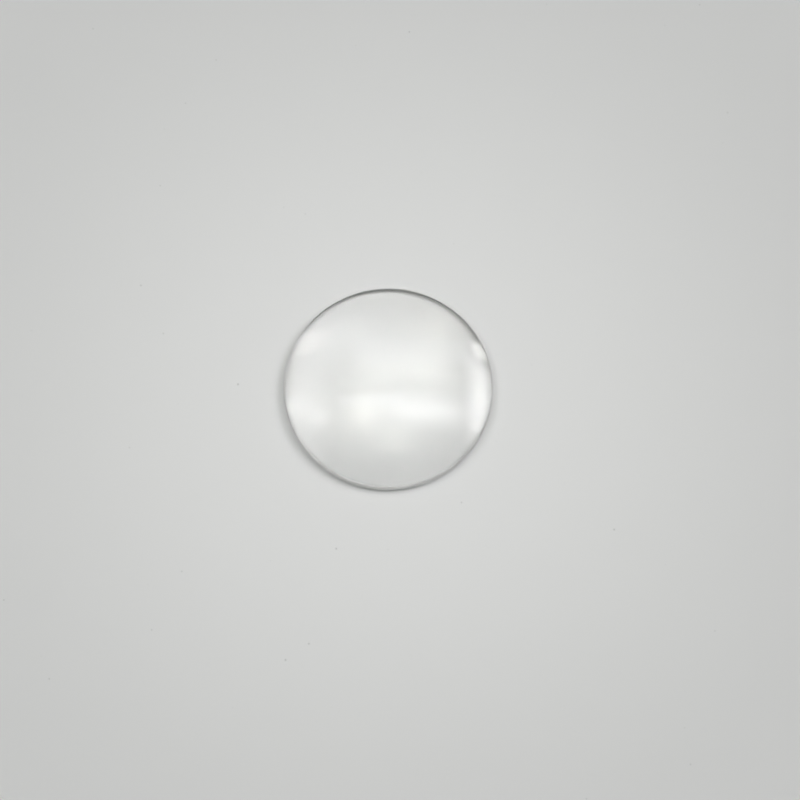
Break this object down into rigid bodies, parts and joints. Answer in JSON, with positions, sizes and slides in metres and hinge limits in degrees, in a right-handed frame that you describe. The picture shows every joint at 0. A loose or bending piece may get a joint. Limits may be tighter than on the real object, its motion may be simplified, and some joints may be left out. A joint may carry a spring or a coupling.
{
  "type": "plano-convex lens",
  "caption": "Round clear glass lens, flat on one side and domed on the other, with a ground edge. It brings parallel light to a focus.",
  "frame": {"origin": "centre of the flat face, on the optical axis", "axes": "+Z along the optical axis, from the flat face towards the top of the dome; X and Y lie in the flat face and are alike, because the lens is round"},
  "size_m": [0.05, 0.05, 0.0066],
  "materials": {
    "crown_glass": "polished faces, fine-ground edge and bevels"
  },
  "bodies": {
    "root": {"lens": "crown_glass"}
  },
  "joints": []
}
